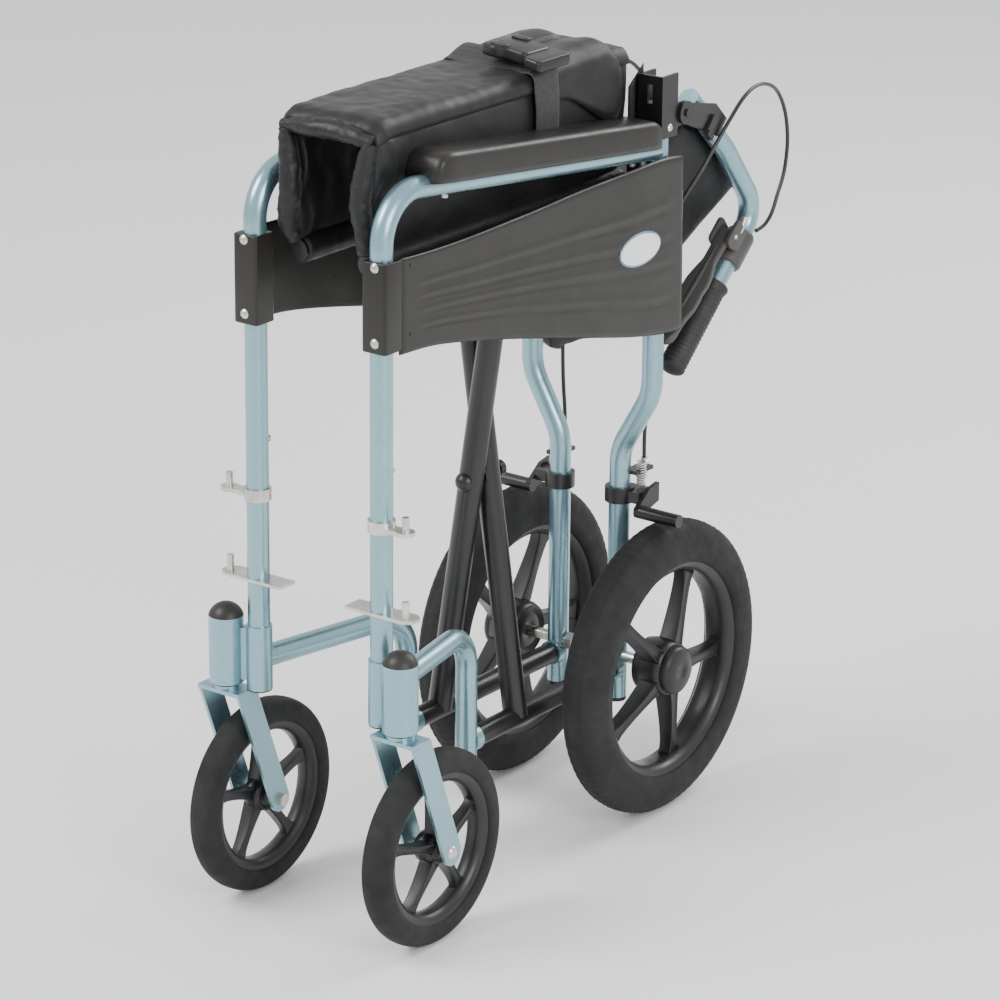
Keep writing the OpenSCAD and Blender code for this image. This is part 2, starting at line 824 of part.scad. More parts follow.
// Top of the folded seat sling: the right half lies over the left half
module seat_top(side) {
    reach = side == RIGHT ? bundle_half : under_reach;
    top_z = side == RIGHT ? bundle_z : bundle_z - layer_t - 0.5;
    color(cloth) on_side(side)
        translate([-reach, seat_rail_front_y, top_z - layer_t])
            cube([reach + bundle_half, seat_rail_rear_y - seat_rail_front_y - 2, layer_t]);
}

// Lower half of the backrest, folded forwards in a V: a hem under the seat rails, a
// band over the seat, and the strip beside the upright that joins them
module back_lower(side) {
    color(cloth) on_side(side)
        translate([back_in_x, rear_y, 0]) rotate([0, 0, v_angle - 180])
            translate([hem_start, -back_t, 0]) {
                translate([0, 0, hem_z]) cube([strip_w, back_t, belt_z - 0.5 - hem_z]);
                translate([0, 0, hem_z]) cube([hem_len, back_t, hem_top_z - hem_z]);
                translate([0, 0, band_z]) cube([band_len, back_t, band_h]);
            }
}

// Upper half of the backrest, hanging folded between the canes
module back_upper(side) {
    down = [0, sin(back_fold), cos(back_fold)];
    inward = [-cos(v_angle), sin(v_angle) * cos(back_fold), -sin(v_angle) * sin(back_fold)];
    line = [back_in_x, hinge_y, hinge_z] - cane_y * [0, -cos(back_fold), sin(back_fold)];
    color(cloth) on_side(side)
        aimed(line + down * upper_from + inward * 3, inward, cross(inward, down))
            cube([back_len, upper_to - upper_from, back_t]);
}

// Lap belt lying over the folded seat, with its buckle
module lap_belt() {
    strap_w = 42;
    belt_y = 271;
    color(black) translate([0, belt_y - origin_y - strap_w / 2, belt_z]) {
        translate([-bundle_half, 0, 0]) cube([2 * bundle_half, strap_w, 3]);
        translate([-12, -4, 3]) cube([62, strap_w + 8, 9]);
    }
}

// ---------- parts ----------

front_tube(LEFT);  // front_tube_left
front_tube(RIGHT);  // front_tube_right
rear_upright(LEFT);  // rear_upright_left
rear_upright(RIGHT);  // rear_upright_right
lower_frame(LEFT);  // lower_frame_left
lower_frame(RIGHT);  // lower_frame_right
end_caps(LEFT);  // end_caps_left
end_caps(RIGHT);  // end_caps_right
side_panel(LEFT);  // side_panel_left
side_panel(RIGHT);  // side_panel_right
armrest_pad(LEFT);  // armrest_pad_left
armrest_pad(RIGHT);  // armrest_pad_right
upright_brackets(LEFT);  // upright_brackets_left
upright_brackets(RIGHT);  // upright_brackets_right
footrest_brackets(LEFT);  // footrest_brackets_left
footrest_brackets(RIGHT);  // footrest_brackets_right
fixings(LEFT);  // fixings_left
fixings(RIGHT);  // fixings_right
caster_fork(LEFT);  // caster_fork_left
caster_fork(RIGHT);  // caster_fork_right
caster_axle(LEFT);  // caster_axle_left
caster_axle(RIGHT);  // caster_axle_right
caster_rim(LEFT);  // caster_rim_left
caster_rim(RIGHT);  // caster_rim_right
caster_tyre(LEFT);  // caster_tyre_left
caster_tyre(RIGHT);  // caster_tyre_right
rear_rim(LEFT);  // rear_rim_left
rear_rim(RIGHT);  // rear_rim_right
rear_tyre(LEFT);  // rear_tyre_left
rear_tyre(RIGHT);  // rear_tyre_right
brace_front();
brace_rear();
pivot_bolt();
seat_rail(LEFT);  // seat_rail_left
seat_rail(RIGHT);  // seat_rail_right
cane(LEFT);  // cane_left
cane(RIGHT);  // cane_right
hinge_plates(LEFT);  // hinge_plates_left
hinge_plates(RIGHT);  // hinge_plates_right
grip(LEFT);  // grip_left
grip(RIGHT);  // grip_right
lever_housing(LEFT);  // lever_housing_left
lever_housing(RIGHT);  // lever_housing_right
brake_lever(LEFT);  // brake_lever_left
brake_lever(RIGHT);  // brake_lever_right
hinge_lock(LEFT);  // hinge_lock_left
hinge_lock(RIGHT);  // hinge_lock_right
brake_arm(LEFT);  // brake_arm_left
brake_arm(RIGHT);  // brake_arm_right
brake_cable(LEFT);  // brake_cable_left
brake_cable(RIGHT);  // brake_cable_right
seat_flap(LEFT);  // seat_flap_left
seat_flap(RIGHT);  // seat_flap_right
seat_top(LEFT);  // seat_top_left
seat_top(RIGHT);  // seat_top_right
back_lower(LEFT);  // back_lower_left
back_lower(RIGHT);  // back_lower_right
back_upper(LEFT);  // back_upper_left
back_upper(RIGHT);  // back_upper_right
lap_belt();
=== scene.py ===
"""Looks of the folded transit wheelchair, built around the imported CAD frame.

Lengths are millimetres in the part's own working frame, whose Y starts at the front tubes;
at() turns them into metres in the row frame.
"""
import json
import math

import bpy
from mathutils import Matrix, Vector, noise


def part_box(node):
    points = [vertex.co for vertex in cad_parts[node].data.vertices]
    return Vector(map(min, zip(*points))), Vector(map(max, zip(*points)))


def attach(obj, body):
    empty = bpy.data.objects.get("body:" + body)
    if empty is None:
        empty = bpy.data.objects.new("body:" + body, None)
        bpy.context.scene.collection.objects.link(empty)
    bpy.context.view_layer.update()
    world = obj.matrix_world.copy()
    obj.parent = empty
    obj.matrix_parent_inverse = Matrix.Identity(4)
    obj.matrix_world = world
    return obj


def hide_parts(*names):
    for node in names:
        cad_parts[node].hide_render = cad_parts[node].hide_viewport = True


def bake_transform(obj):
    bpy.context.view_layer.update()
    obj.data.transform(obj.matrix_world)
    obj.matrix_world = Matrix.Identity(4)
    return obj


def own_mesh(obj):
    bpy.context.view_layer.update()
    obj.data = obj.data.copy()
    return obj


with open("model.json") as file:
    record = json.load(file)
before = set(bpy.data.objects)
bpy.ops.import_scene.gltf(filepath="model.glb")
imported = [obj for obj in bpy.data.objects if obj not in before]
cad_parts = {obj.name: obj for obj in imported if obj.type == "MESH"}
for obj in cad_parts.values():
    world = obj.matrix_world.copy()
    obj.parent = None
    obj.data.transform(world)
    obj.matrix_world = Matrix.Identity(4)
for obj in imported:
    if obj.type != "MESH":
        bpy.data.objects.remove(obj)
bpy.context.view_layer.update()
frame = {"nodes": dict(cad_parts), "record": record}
MM = 0.001
SIDES = {"left": 1, "right": -1}
TUBE_R = 11.1
FRONT_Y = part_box("front_tube_left")[0].y + TUBE_R * MM
slot_of = {s["node"]: s["material_slot"] for s in frame["record"]["subparts"]}


def at(x, y, z):
    """A point of the working frame, in the row frame."""
    return Vector((x * MM, FRONT_Y + y * MM, z * MM))


def unit(v):
    return v.normalized()


def mix(a, b, t):
    return a + (b - a) * t


def ease(t):
    """0 below 0, 1 above 1, and a smooth rise between them."""
    t = min(max(t, 0), 1)
    return t * t * (3 - 2 * t)


def wave(p, scale, amount):
    """Smooth seeded unevenness at a working-frame point."""
    return noise.noise(Vector(p) / scale) * amount


# ---------- camera, floor and light ----------

CAMERA_ANGLES = (36.43, 19.26, 0.54)
CAMERA_AIM = (67.4, 200, 404.5)
CAMERA_DISTANCE = 4125.7
CAMERA_LENS = 150.7
SENSOR_WIDTH = 36


def make_camera():
    """The camera, turned, raised and slightly rolled about its aim."""
    azimuth, elevation, roll = (math.radians(a) for a in CAMERA_ANGLES)
    back = Vector((
        math.sin(azimuth) * math.cos(elevation),
        -math.cos(azimuth) * math.cos(elevation),
        math.sin(elevation),
    ))
    level = Vector((math.cos(azimuth), math.sin(azimuth), 0))
    over = back.cross(level)
    right = level * math.cos(roll) + over * math.sin(roll)
    up = over * math.cos(roll) - level * math.sin(roll)
    data = bpy.data.cameras.new("camera")
    data.lens = CAMERA_LENS
    data.sensor_width = SENSOR_WIDTH
    data.clip_end = 50
    camera = bpy.data.objects.new("camera", data)
    bpy.context.scene.collection.objects.link(camera)
    turn = Matrix((right, up, back)).transposed().to_4x4()
    camera.matrix_world = Matrix.Translation(at(*CAMERA_AIM) + back * CAMERA_DISTANCE * MM) @ turn
    bpy.context.scene.camera = camera


def area_light(name, place, aim, size, power):
    data = bpy.data.lights.new(name, "AREA")
    data.shape = "DISK"
    data.size = size
    data.energy = power
    light = bpy.data.objects.new(name, data)
    bpy.context.scene.collection.objects.link(light)
    light.location = place
    light.rotation_euler = (Vector(aim) - Vector(place)).to_track_quat("-Z", "Y").to_euler()


def make_studio():
    world = bpy.data.worlds.new("studio")
    bpy.context.scene.world = world
    world.use_nodes = True
    background = world.node_tree.nodes["Background"]
    background.inputs["Color"].default_value = (1, 1, 1, 1)
    background.inputs["Strength"].default_value = 1.0
    bpy.ops.mesh.primitive_plane_add(size=30, location=(0, 0, 0))
    floor = bpy.context.object
    floor.name = "floor"
    floor.data.materials.append(plain_floor())
    area_light("key", (-1.6, -2.4, 3.2), (0, 0, 0.4), 2.2, 130)
    area_light("fill", (3.2, -1.2, 2.0), (0, 0, 0.4), 2.0, 75)
    area_light("back", (0.8, 3.0, 2.6), (0, 0, 0.6), 2.0, 75)


# ---------- materials ----------

class Look:
    """A node material with a Principled shader, and short ways to texture it."""

    def __init__(self, name, color, roughness, metallic=0.0):
        self.material = bpy.data.materials.new(name)
        self.material.use_nodes = True
        self.tree = self.material.node_tree
        self.shader = self.tree.nodes["Principled BSDF"]
        self.set("Base Color", (*color, 1))
        self.set("Roughness", roughness)
        self.set("Metallic", metallic)
        self.bumps = None

    def set(self, socket, value):
        self.shader.inputs[socket].default_value = value

    def node(self, kind, **values):
        made = self.tree.nodes.new(kind)
        for key, value in values.items():
            made.inputs[key.replace("_", " ")].default_value = value
        return made

    def link(self, source, target):
        self.tree.links.new(source, target)

    def place(self, scale=(1, 1, 1)):
        coords = self.tree.nodes.new("ShaderNodeTexCoord")
        mapping = self.tree.nodes.new("ShaderNodeMapping")
        mapping.inputs["Scale"].default_value = scale
        self.link(coords.outputs["Object"], mapping.inputs["Vector"])
        return mapping.outputs["Vector"]

    def noise(self, scale, detail=3.0, stretch=(1, 1, 1)):
        made = self.node("ShaderNodeTexNoise", Scale=scale, Detail=detail)
        self.link(self.place(stretch), made.inputs["Vector"])
        return made.outputs["Fac"]

    def ramp(self, fac, low, high, start=0.3, end=0.7):
        made = self.tree.nodes.new("ShaderNodeValToRGB")
        made.color_ramp.elements[0].position = start
        made.color_ramp.elements[1].position = end
        made.color_ramp.elements[0].color = low
        made.color_ramp.elements[1].color = high
        self.link(fac, made.inputs["Fac"])
        return made.outputs["Color"]

    def tint(self, fac, low, high, start=0.3, end=0.7):
        colour = self.ramp(fac, (*low, 1), (*high, 1), start, end)
        self.link(colour, self.shader.inputs["Base Color"])

    def rough(self, fac, low, high):
        shade = self.ramp(fac, (low,) * 3 + (1,), (high,) * 3 + (1,))
        self.link(shade, self.shader.inputs["Roughness"])

    def bump(self, height, strength, distance):
        made = self.node("ShaderNodeBump", Strength=strength, Distance=distance)
        self.link(height, made.inputs["Height"])
        if self.bumps:
            self.link(self.bumps, made.inputs["Normal"])
        self.bumps = made.outputs["Normal"]
        self.link(self.bumps, self.shader.inputs["Normal"])


def plain_floor():
    look = Look("floor", (0.86, 0.86, 0.86), 0.6)
    look.rough(look.noise(3), 0.55, 0.7)
    return look.material


def frame_paint():
    look = Look("frame_paint", (0.36, 0.54, 0.6), 0.3, 0.8)
    flakes = look.noise(900, 2)
    look.tint(flakes, (0.21, 0.37, 0.43), (0.29, 0.47, 0.53))
    look.rough(look.noise(14, 4), 0.24, 0.36)
    look.bump(flakes, 0.04, 0.0004)
    look.set("Coat Weight", 0.35)
    look.set("Coat Roughness", 0.12)
    return look.material


def black_steel():
    look = Look("black_steel", (0.022, 0.022, 0.024), 0.35)
    grain = look.noise(420, 4)
    look.tint(look.noise(9, 4), (0.006, 0.006, 0.007), (0.012, 0.012, 0.012))
    look.rough(look.noise(22, 4), 0.26, 0.42)
    look.bump(grain, 0.12, 0.0004)
    return look.material


def zinc():
    look = Look("zinc", (0.62, 0.6, 0.56), 0.32, 1.0)
    look.tint(look.noise(60, 4), (0.52, 0.5, 0.45), (0.72, 0.71, 0.68))
    look.rough(look.noise(90, 4), 0.24, 0.42)
    look.bump(look.noise(500, 2), 0.05, 0.0003)
    return look.material


def moulded_plastic(name, low, high, gloss):
    look = Look(name, high, 0.45)
    look.tint(look.noise(7, 5), low, high)
    look.rough(look.noise(40, 4), 0.36 - gloss, 0.5 - gloss)
    look.bump(look.noise(700, 2), 0.03, 0.0002)
    look.set("Specular IOR Level", 0.32)
    return look.material


def wheel_plastic():
    look = Look("wheel_plastic", (0.02, 0.02, 0.021), 0.4)
    look.tint(look.noise(12, 4), (0.007, 0.007, 0.008), (0.013, 0.013, 0.013))
    look.rough(look.noise(50, 4), 0.3, 0.46)
    look.bump(look.noise(900, 3), 0.1, 0.0003)
    return look.material


def tyre_rubber():
    look = Look("tyre", (0.04, 0.04, 0.041), 0.78)
    look.tint(look.noise(18, 6), (0.012, 0.012, 0.013), (0.022, 0.022, 0.022))
    look.rough(look.noise(70, 5), 0.68, 0.88)
    look.bump(look.noise(700, 4), 0.25, 0.0004)
    look.set("Specular IOR Level", 0.3)
    return look.material


def grip_rubber():
    look = Look("grip_rubber", (0.03, 0.03, 0.031), 0.62)
    look.tint(look.noise(25, 5), (0.01, 0.01, 0.011), (0.018, 0.018, 0.018))
    look.rough(look.noise(60, 4), 0.52, 0.72)
    look.bump(look.noise(1300, 3), 0.2, 0.0003)
    return look.material


def cable_sheath():
    look = Look("cable_sheath", (0.012, 0.012, 0.012), 0.34)
    look.rough(look.noise(80, 3), 0.26, 0.42)
    look.tint(look.noise(30, 3), (0.01, 0.01, 0.01), (0.018, 0.018, 0.018))
    return look.material


def cloth():
    look = Look("cloth", (0.022, 0.022, 0.024), 0.55)
    look.tint(look.noise(26, 6), (0.006, 0.006, 0.007), (0.012, 0.012, 0.013))
    look.rough(look.noise(34, 4), 0.4, 0.56)
    for turn in ((1, 0.12, 0.12), (0.12, 1, 1)):
        look.bump(look.noise(2600, 1, turn), 0.16, 0.0003)
    look.bump(look.noise(48, 4), 0.35, 0.002)
    look.set("Sheen Weight", 0.04)
    look.set("Specular IOR Level", 0.34)
    look.set("Sheen Roughness", 0.45)
    return look.material


def webbing():
    look = Look("webbing", (0.02, 0.02, 0.022), 0.7)
    look.tint(look.noise(300, 3, (0.1, 1, 1)), (0.014, 0.014, 0.015), (0.032, 0.032, 0.034))
    look.rough(look.noise(120, 3), 0.6, 0.8)
    look.bump(look.noise(1500, 1, (0.1, 1, 1)), 0.4, 0.0006)
    look.set("Sheen Weight", 0.05)
    return look.material


def badge_enamel():
    look = Look("badge_enamel", (0.8, 0.82, 0.84), 0.25)
    look.tint(look.noise(40, 2), (0.76, 0.79, 0.82), (0.86, 0.87, 0.88))
    look.rough(look.noise(80, 2), 0.2, 0.3)
    return look.material


def badge_ring():
    look = Look("badge_ring", (0.12, 0.2, 0.34), 0.3)
    look.tint(look.noise(60, 2), (0.1, 0.17, 0.3), (0.16, 0.25, 0.4))
    return look.material


# ---------- mesh tools ----------

def finish_piece(name, verts, faces, look, body, replaced=(), smooth=True):
    """A new piece on its body and slot, in place of the CAD nodes that it replaces."""
    mesh = bpy.data.meshes.new(name)
    mesh.from_pydata([tuple(v) for v in verts], [], faces)
    mesh.update()
    mesh.materials.append(looks[look])
    for polygon in mesh.polygons:
        polygon.use_smooth = smooth
    piece = bpy.data.objects.new(name, mesh)
    bpy.context.scene.collection.objects.link(piece)
    if body:
        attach(piece, body)
    if replaced:
        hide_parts(*replaced)
    return piece


def skin(name, rings, look, body, replaced=(), capped=True, looped=False, smooth=True):
    """A closed skin over rings of points; rings that come round on themselves are looped."""
    count = len(rings[0])
    verts = [p for ring in rings for p in ring]
    faces = []
    last = len(rings) if looped else len(rings) - 1
    for i in range(last):
        j = (i + 1) % len(rings)
        for k in range(count):
            n = (k + 1) % count
            faces.append((i * count + k, i * count + n, j * count + n, j * count + k))
    if capped and not looped:
        faces.append(tuple(reversed(range(count))))
        faces.append(tuple((len(rings) - 1) * count + k for k in range(count)))
    return finish_piece(name, verts, faces, look, body, replaced, smooth)


def through(a, b, c, d, t):
    """A point of the smooth curve from b to c, whose neighbours are a and d."""
    return 0.5 * (2 * b + (c - a) * t + (2 * a - 5 * b + 4 * c - d) * t * t
                  + (3 * b - a - 3 * c + d) * t ** 3)


def smooth_route(points, steps):
    """A smooth line through points, with steps pieces from each point to the next."""
    p = [Vector(q) for q in points]
    made = []
    for i in range(len(p) - 1):
        for k in range(steps):
            made.append(through(p[max(i - 1, 0)], p[i], p[i + 1], p[min(i + 2, len(p) - 1)], k / steps))
    made.append(p[-1])
    return made


def tube_rings(points, radius, sides=16, squash=1.0, wrinkle=0.0):
    """Rings round a line of working-frame points. radius may be a function of 0 to 1."""
    rings = []
    last = len(points) - 1
    side = None
    for i, p in enumerate(points):
        ahead = unit(points[min(i + 1, last)] - points[max(i - 1, 0)])
        if side is None:
            side = unit(ahead.cross(Vector((0, 0, 1)) if abs(ahead.z) < 0.9 else Vector((1, 0, 0))))
        side = unit(side - ahead * side.dot(ahead))
        other = ahead.cross(side)
        r = radius(i / last) if callable(radius) else radius
        ring = []
        for k in range(sides):
            turn = 2 * math.pi * k / sides
            arm = side * math.cos(turn) + other * math.sin(turn) * squash
            spot = p + arm * r
            if wrinkle:
                spot += arm * (noise.noise(spot / 7) + 0.5 * noise.noise(spot / 3)) * wrinkle
            ring.append(spot)
        rings.append(ring)
    return rings


def placed(rings):
    """Rings of working-frame points, in the row frame."""
    return [[at(*p) for p in ring] for ring in rings]


def sheet_faces(across, along):
    """Faces of a two-sided sheet: one grid of points, then its other side, joined all round."""
    row = along + 1
    under = (across + 1) * row
    faces = []
    for i in range(across):
        for j in range(along):
            a, b, c, d = i * row + j, (i + 1) * row + j, (i + 1) * row + j + 1, i * row + j + 1
            faces.append((a, b, c, d))
            faces.append((under + d, under + c, under + b, under + a))
    border = [i * row for i in range(across)]
    border += [across * row + j for j in range(along)]
    border += [i * row + along for i in range(across, 0, -1)]
    border += list(range(along, 0, -1))
    for k, a in enumerate(border):
        b = border[(k + 1) % len(border)]
        faces.append((b, a, under + a, under + b))
    return faces


def padded_patch(name, surface, across, along, thick, look, body, replaced=(), edge=0.25):
    """A closed soft sheet on surface(u, v), thinner towards its edges."""
    def middle(u, v):
        return Vector(surface(u, v))

    def normal(u, v):
        h = 0.004
        du = middle(min(u + h, 1), v) - middle(max(u - h, 0), v)
        dv = middle(u, min(v + h, 1)) - middle(u, max(v - h, 0))
        return unit(du.cross(dv))

    def fullness(t):
        return 1 - abs(2 * t - 1) ** 10

    verts = []
    for face in (1, -1):
        for i in range(across + 1):
            for j in range(along + 1):
                u, v = i / across, j / along
                full = edge + (1 - edge) * math.sqrt(max(fullness(u) * fullness(v), 0))
                depth = thick(u, v) if callable(thick) else thick
                verts.append(at(*(middle(u, v) + normal(u, v) * face * depth / 2 * full)))
    return finish_piece(name, verts, sheet_faces(across, along), look, body, replaced)


def turned(profile, centre, segments, dent=None):
    """Rings of a profile of (radius, x) turned about an axis along X through centre."""
    rings = []
    for i in range(segments):
        turn = 2 * math.pi * i / segments
        ring = []
        for r, x in profile:
            r = r - (dent(i, r, x) if dent else 0)
            ring.append(at(centre[0] + x, centre[1] + r * math.cos(turn), centre[2] + r * math.sin(turn)))
        rings.append(ring)
    return rings


def oval(half_wide, half_high, sides):
    """Closed outline of an ellipse."""
    turns = [k * math.pi / (sides / 2) for k in range(sides)]
    return [(half_wide * math.cos(turn), half_high * math.sin(turn)) for turn in turns]


def rounded_outline(points, radius, steps=5):
    """Closed outline through points with its corners rounded."""
    made = []
    n = len(points)
    for i in range(n):
        p = Vector((*points[i], 0))
        a = Vector((*points[i - 1], 0)) - p
        b = Vector((*points[(i + 1) % n], 0)) - p
        r = min(radius, a.length * 0.45, b.length * 0.45)
        start, end = p + unit(a) * r, p + unit(b) * r
        for k in range(steps + 1):
            t = k / steps
            made.append(tuple(mix(mix(start, p, t), mix(p, end, t), t))[:2])
    return made


def slab(name, outline, place, thick, bevel, look, body, replaced=()):
    """An outlined plate with rounded edges. place(a, b, h) gives a point at height h."""
    cx = sum(p[0] for p in outline) / len(outline)
    cy = sum(p[1] for p in outline) / len(outline)
    reach = max(math.hypot(p[0] - cx, p[1] - cy) for p in outline)
    rings = []
    for step in range(5):
        angle = math.pi / 2 * step / 4
        rings.append((bevel * (1 - math.sin(angle)) / reach, bevel * (1 - math.cos(angle))))
    levels = rings + [(inset, thick - h) for inset, h in reversed(rings)]
    levels = sorted(levels, key=lambda level: level[1])
    rows = []
    for inset, h in levels:
        full = 1 - inset
        rows.append([place(cx + (a - cx) * full, cy + (b - cy) * full, h) for a, b in outline])
    return skin(name, rows, look, body, replaced)


# ---------- carried CAD nodes ----------

def dress_cad_nodes():
    """Every CAD node takes the material of its slot."""
    for name, node in frame["nodes"].items():
        node.data.materials.clear()
        node.data.materials.append(looks[slot_of[name]])


def node_centre(name):
    """Middle of a CAD node's box, in the working frame."""
    low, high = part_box(name)
    x, y, z = ((low[k] + high[k]) / 2 for k in range(3))
    return x / MM, (y - FRONT_Y) / MM, z / MM


# ---------- side frame ----------

# Edges of the skirt guard from front to rear, as y and z.
GUARD_TOP = [(9, 698), (60, 696), (120, 696), (216, 699), (300, 703), (380, 705), (440, 706), (474, 703)]
GUARD_BOTTOM = [(9, 605), (60, 602), (120, 592), (200, 575), (290, 554), (380, 533), (440, 522), (478, 519)]
GUARD_LENGTH, GUARD_HEIGHT, GUARD_THICK = 460, 110, 3.4
# Height of each pressed crease at the front and the rear, as parts of the guard's height.
GUARD_CREASES = ((0.64, 0.74), (0.5, 0.56), (0.34, 0.42), (0.2, 0.2))
CLIP_REACH, CLIP_FOOT, CLIP_HEIGHT = 29, 609, 88
PEG_R, PEG_Y, PEG_HEIGHTS = 1.6, 24, (622, 689)
BADGE_Y, BADGE_Z = 399, 621


def side_panel(side):
    """Skirt guard: a thin moulded plate with long pressed creases."""
    s = SIDES[side]
    low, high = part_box(f"side_panel_{side}")
    outside = max(abs(low.x), abs(high.x)) / MM
    top = smooth_route([(y, z, 0) for y, z in GUARD_TOP], 8)
    bottom = smooth_route([(y, z, 0) for y, z in GUARD_BOTTOM], 8)

    def relief(u, v):
        depth = 0.0
        for front, rear in GUARD_CREASES:
            line = mix(front, rear, u) + 0.025 * math.sin(u * math.pi * 1.3 + front * 3)
            fade = ease((u - 0.06) / 0.08) * ease((0.93 - u) / 0.06)
            depth += fade * math.exp(-((v - line) / 0.012) ** 2)
            depth -= 0.5 * fade * math.exp(-((v - line - 0.03) / 0.03) ** 2)
        return depth

    cols, rows = len(top) - 1, 44
    verts = []
    for face in ("outer", "inner"):
        for i in range(cols + 1):
            for j in range(rows + 1):
                u, v = i / cols, j / rows
                p = mix(bottom[i], top[i], v)
                rim = min(u, 1 - u) * GUARD_LENGTH, min(v, 1 - v) * GUARD_HEIGHT
                lip = 1 - min(min(rim) / 2.2, 1)
                if face == "outer":
                    x = outside - 0.9 * lip * lip - relief(u, v)
                else:
                    x = outside - GUARD_THICK + 0.8 * lip * lip
                verts.append(at(s * x, p.x, p.y))
    finish_piece(f"skirt_guard_{side}", verts, sheet_faces(cols, rows), "panel_plastic",
                 f"frame_{side}", [f"side_panel_{side}"])
    guard_clip(side, outside)
    badge(side, outside)


def guard_clip(side, outside):
    """Clip at the front of the skirt guard, with its two pegs."""
    s = SIDES[side]
    body = f"frame_{side}"
    inner, outer = outside - CLIP_REACH, outside - 0.4
    outline = rounded_outline([(inner, -14), (outer, -14), (outer, 13), (inner, 13)], 3.5)
    slab(f"guard_clip_{side}", outline, lambda a, b, h: at(s * a, b, CLIP_FOOT + h), CLIP_HEIGHT, 1.6,
         "panel_plastic", body)
    for z in PEG_HEIGHTS:
        def on_peg(a, b, h, z=z):
            return at(s * (outside - 1 + h), PEG_Y + a, z + b)

        slab(f"guard_peg_{side}_{z}", oval(PEG_R, PEG_R, 16), on_peg, 1.8, 0.6,
             "panel_plastic", body)


def badge(side, outside):
    """Blank oval badge: an enamelled face on a wider ring."""
    s = SIDES[side]

    def on_guard(a, b, h):
        return at(s * (outside - 0.6 + h), BADGE_Y + a, BADGE_Z + b)

    layers = (("ring", oval(36, 17.5, 48), 1.2, "badge_ring"),
              ("face", oval(34, 15.5, 48), 1.8, "badge_enamel"))
    for part, outline, depth, look in layers:
        slab(f"badge_{part}_{side}", outline, on_guard, depth, 0.7, look, f"frame_{side}")


PAD_FRONT, PAD_LENGTH = 61, 369
PAD_HALF, PAD_DEPTH = 24.6, 29
PAD_FOOT = 761
PAD_SLOPE = math.tan(math.radians(6.2))


def armrest_pad(side):
    """Moulded armrest pad with rounded upper edges and a bevelled nose."""
    s = SIDES[side]
    low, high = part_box(f"armrest_pad_{side}")
    middle = abs(low.x + high.x) / 2 / MM
    rings = []
    steps = 72
    for i in range(steps + 1):
        t = i / steps
        y = PAD_FRONT + PAD_LENGTH * t
        nose = min(1, math.sqrt(max(1 - (1 - min(t * steps / 5, 1)) ** 2, 0)) + 0.02)
        tail = min(1, math.sqrt(max(1 - (1 - min((1 - t) * steps / 4, 1)) ** 2, 0)) + 0.02)
        full = nose * tail
        base = PAD_FOOT - y * PAD_SLOPE + 4
        half = PAD_HALF * (0.8 + 0.2 * full)
        height = PAD_DEPTH * (0.45 + 0.55 * full) if t < 0.5 else PAD_DEPTH * (0.6 + 0.4 * full)
        top = half * 0.93
        outline = rounded_outline([(-half, 0), (half, 0), (top, height), (-top, height)], 7, 6)
        ring = []
        for a, b in outline:
            crown = 1.6 * (1 - (a / half) ** 2) if b > height * 0.8 else 0
            ring.append(at(s * (middle + a), y, base + b + crown))
        rings.append(ring)
    skin(f"arm_pad_{side}", rings, "pad_plastic", f"frame_{side}",
         [f"armrest_pad_{side}"])


# ---------- wheels ----------

# Radii of the tyre and of its bed, tyre width, hub diameter, spoke width (root) and depth
# (web), and the angle of the first spoke. A blocky tyre has cross cuts and two grooves in
# its tread, and the other has two fine lines.
WHEELS = {
    "caster": {"radius": 100, "bed": 79, "width": 29, "hub": 32, "root": 15, "web": 11,
               "first": 20, "blocky": False},
    "rear": {"radius": 158, "bed": 117, "width": 45, "hub": 56, "root": 20, "web": 14,
             "first": -6, "blocky": True},
}
SPOKES = 5


def wheel(kind, side):
    """A solid tyre on a five-spoke moulded rim, turned about X, with a cap on its hub."""
    size = WHEELS[kind]
    centre = node_centre(f"{kind}_tyre_{side}")
    wheel_tyre(kind, side, size, centre)
    wheel_rim(kind, side, size, centre)
    wheel_hub(kind, side, size, centre)
    for arm in range(SPOKES):
        wheel_spoke(kind, side, size, centre, arm)


def wheel_tyre(kind, side, size, centre):
    """A solid tyre with bulging walls and its tread cut into it."""
    radius, bed, half, blocky = size["radius"], size["bed"], size["width"] / 2, size["blocky"]
    profile = []
    steps = 30
    for k in range(steps + 1):
        a = math.pi * (k / steps) - math.pi / 2
        x = half * math.copysign(abs(math.sin(a)) ** 0.75, math.sin(a))
        depth = (radius - bed) * math.copysign(abs(math.cos(a)) ** 0.62, math.cos(a))
        profile.append((bed + max(depth, 0), x))
    profile += [(bed - 2, half * 0.8), (bed - 2, -half * 0.8)]

    def tread(i, r, x):
        if r < radius - (9 if blocky else 5):
            return 0
        if blocky:
            return 0.9 * (i % 3 == 0) + 1.1 * (abs(abs(x) - half * 0.34) < 1.6)
        return 0.5 * (abs(abs(x) - half * 0.4) < 1.2)

    segments = 270 if blocky else 160
    skin(f"{kind}_{side}_tyre", turned(profile, centre, segments, tread), "tyre",
         f"{kind}_wheel_{side}", [f"{kind}_tyre_{side}"], looped=True)


def wheel_rim(kind, side, size, centre):
    """The band under the tyre, with a raised lip at each edge."""
    bed, half = size["bed"], size["width"] / 2
    lip = bed + 1.5
    edge = [(lip, 0.62), (lip + 1.5, 0.72), (lip, 0.82), (bed - 5, 0.8), (bed - 11, 0.55), (bed - 12.5, 0.2)]
    band = [(r, half * x) for r, x in edge]
    band += [(r, -half * x) for r, x in reversed(edge)]
    band += [(bed - 3, -half * 0.5), (bed - 3, half * 0.5)]
    skin(f"{kind}_{side}_rim_band", turned(band, centre, 96), "wheel_plastic",
         f"{kind}_wheel_{side}", [f"{kind}_rim_{side}"], looped=True)


